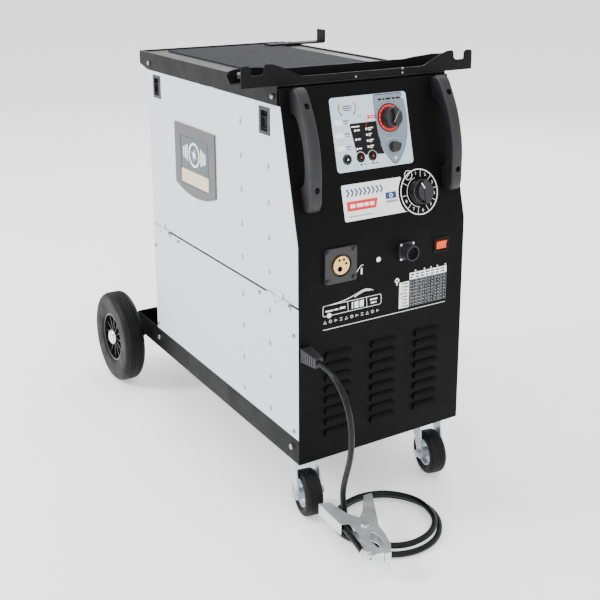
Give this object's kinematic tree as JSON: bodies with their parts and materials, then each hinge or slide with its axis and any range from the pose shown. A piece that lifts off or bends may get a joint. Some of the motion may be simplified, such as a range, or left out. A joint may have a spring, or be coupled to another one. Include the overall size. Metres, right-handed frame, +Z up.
{
  "type": "mig welder on cart",
  "caption": "Wheeled MIG welding set: tall sheet-metal case with leaning control front, hinged wire door, cable tray, bottle shelf, casters, ground cable and clamp.",
  "frame": {"origin": "on the floor, under the middle of the set's footprint (ground cable and clamp left out)", "axes": "+Z up; the control front faces -Y; the wire door is on the -X side"},
  "size_m": [0.4684, 1.0175, 0.7815],
  "materials": {
    "black_sheet": "satin powder coat",
    "charcoal_sheet": "satin powder coat",
    "panel_white": "fine textured powder coat",
    "mat_rubber": "matt ribbed",
    "tyre_rubber": "matt",
    "caster_rubber": "matt",
    "rim_plastic": "satin",
    "zinc": "bright zinc",
    "chrome_cap": "polished",
    "handle_plastic": "fine grain",
    "knob_plastic": "satin",
    "button_grey": "satin",
    "rocker_orange": "translucent gloss",
    "socket_black": "matt",
    "brass_socket": "turned",
    "cable_black": "satin sheath",
    "clamp_steel": "nickel plated",
    "badge_grey": "satin",
    "copper_winding": "varnished copper",
    "core_steel": "laminated",
    "spool_wire": "coppered wire on spool",
    "heatsink": "extruded",
    "board_green": "circuit board",
    "fan_plastic": "moulded",
    "feeder_metal": "cast"
  },
  "bodies": {
    "chassis": {"chassis_pan": "charcoal_sheet", "rear_axle": "chrome_cap", "caster_plates": "zinc", "front_panel": "black_sheet", "rear_panel": "black_sheet", "side_panel_left": "panel_white", "side_panel_right": "panel_white", "top_tray": "charcoal_sheet", "tray_mat": "mat_rubber", "cable_hook_bar": "charcoal_sheet", "rear_cable_hook": "charcoal_sheet", "handle_left": "handle_plastic", "handle_right": "handle_plastic", "hinge_leaves_fixed": "panel_white", "switch_bezel": "socket_black", "remote_socket": "socket_black", "torch_socket_flange": "socket_black", "torch_socket_body": "brass_socket", "cable_gland": "socket_black", "ground_cable": "cable_black", "ground_cable_coil": "cable_black", "clamp_lower_jaw": "clamp_steel", "clamp_hardware": "clamp_steel", "fasteners": "zinc", "divider_wall": "panel_white", "spool_hub": "rim_plastic", "feed_unit": "feeder_metal", "drive_roll": "zinc", "pressure_arm": "feeder_metal", "pinch_roll": "zinc", "transformer": "core_steel", "fan_frame": "fan_plastic", "rectifier": "heatsink", "control_board": "board_green"},
    "rear_wheel_left": {"wheel_rim_left": "rim_plastic", "wheel_tyre_left": "tyre_rubber"},
    "rear_wheel_right": {"wheel_rim_right": "rim_plastic", "wheel_tyre_right": "tyre_rubber"},
    "caster_left": {"caster_fork_left": "zinc"},
    "caster_right": {"caster_fork_right": "zinc"},
    "caster_wheel_left": {"caster_rim_left": "zinc", "caster_tyre_left": "caster_rubber"},
    "caster_wheel_right": {"caster_rim_right": "zinc", "caster_tyre_right": "caster_rubber"},
    "door": {"access_door": "panel_white", "hinge_leaves_door": "panel_white", "latch_bezels": "button_grey", "door_badge": "badge_grey"},
    "latch_front": {"latch_slider_front": "knob_plastic"},
    "latch_rear": {"latch_slider_rear": "knob_plastic"},
    "speed_dial": {"speed_knob": "knob_plastic"},
    "trim_dial": {"trim_knob": "knob_plastic"},
    "voltage_dial": {"voltage_knob": "knob_plastic"},
    "button_left": {"mode_button_left": "button_grey"},
    "button_middle": {"mode_button_middle": "button_grey"},
    "button_right": {"mode_button_right": "button_grey"},
    "rocker": {"power_rocker": "rocker_orange"},
    "spool": {"wire_spool": "spool_wire"},
    "fan": {"fan_blades": "fan_plastic"},
    "clamp_jaw": {"clamp_upper_jaw": "clamp_steel"}
  },
  "joints": [
    {"name": "access_door_hinge", "type": "hinge", "parent": "chassis", "child": "door", "pos_m": [-0.1726, -0.0995, 0.391], "axis": [0, -1, 0], "range_deg": [0, 160]},
    {"name": "caster_left_swivel", "type": "hinge", "parent": "chassis", "child": "caster_left", "pos_m": [-0.134, -0.3545, 0.095], "axis": [0, 0, 1], "continuous": true},
    {"name": "caster_right_swivel", "type": "hinge", "parent": "chassis", "child": "caster_right", "pos_m": [0.134, -0.3545, 0.095], "axis": [0, 0, 1], "continuous": true},
    {"name": "caster_wheel_left_spin", "type": "hinge", "parent": "caster_left", "child": "caster_wheel_left", "pos_m": [-0.13782, -0.37413, 0.04], "axis": [0.9816, -0.1908, 0], "continuous": true},
    {"name": "caster_wheel_right_spin", "type": "hinge", "parent": "caster_right", "child": "caster_wheel_right", "pos_m": [0.13053, -0.3742, 0.04], "axis": [0.9848, -0.1736, 0], "continuous": true},
    {"name": "clamp_jaw_open", "type": "hinge", "parent": "chassis", "child": "clamp_jaw", "pos_m": [-0.116, -0.5165, 0.036], "axis": [0, 0, 1], "range_deg": [0, 22], "stiffness_Nm_per_rad": 0.6},
    {"name": "latch_front_slide", "type": "slide", "parent": "door", "child": "latch_front", "axis": [0, 0, 1], "range_m": [0, 0.008]},
    {"name": "latch_rear_slide", "type": "slide", "parent": "door", "child": "latch_rear", "axis": [0, 0, 1], "range_m": [0, 0.008]},
    {"name": "mode_button_left_press", "type": "slide", "parent": "chassis", "child": "button_left", "axis": [0, 0.9717, -0.236], "range_m": [0, 0.002], "stiffness_N_per_m": 400},
    {"name": "mode_button_middle_press", "type": "slide", "parent": "chassis", "child": "button_middle", "axis": [0, 0.9717, -0.236], "range_m": [0, 0.002], "stiffness_N_per_m": 400},
    {"name": "mode_button_right_press", "type": "slide", "parent": "chassis", "child": "button_right", "axis": [0, 0.9717, -0.236], "range_m": [0, 0.002], "stiffness_N_per_m": 400},
    {"name": "power_rocker_tilt", "type": "hinge", "parent": "chassis", "child": "rocker", "pos_m": [0.12, -0.3935, 0.454], "axis": [-1, 0, 0], "range_deg": [0, 14]},
    {"name": "rear_wheel_left_spin", "type": "hinge", "parent": "chassis", "child": "rear_wheel_left", "pos_m": [-0.209, 0.3205, 0.1], "axis": [1, 0, 0], "continuous": true},
    {"name": "rear_wheel_right_spin", "type": "hinge", "parent": "chassis", "child": "rear_wheel_right", "pos_m": [0.209, 0.3205, 0.1], "axis": [1, 0, 0], "continuous": true},
    {"name": "speed_knob_turn", "type": "hinge", "parent": "chassis", "child": "speed_dial", "pos_m": [0.0355, -0.36437, 0.68199], "axis": [0, -0.9717, 0.236], "range_deg": [-150, 150]},
    {"name": "trim_knob_turn", "type": "hinge", "parent": "chassis", "child": "trim_dial", "pos_m": [0.037, -0.37217, 0.63295], "axis": [0, -0.9717, 0.236], "range_deg": [-150, 150]},
    {"name": "voltage_knob_turn", "type": "hinge", "parent": "chassis", "child": "voltage_dial", "pos_m": [0.0795, -0.39354, 0.55344], "axis": [0, -0.9717, 0.236], "range_deg": [-270, 45]},
    {"name": "wire_spool_spin", "type": "hinge", "parent": "chassis", "child": "spool", "pos_m": [-0.055, 0.0305, 0.56], "axis": [1, 0, 0], "continuous": true},
    {"name": "fan_spin", "type": "hinge", "parent": "chassis", "child": "fan", "pos_m": [0.06, 0.1675, 0.36], "axis": [0, 1, 0], "continuous": true}
  ]
}
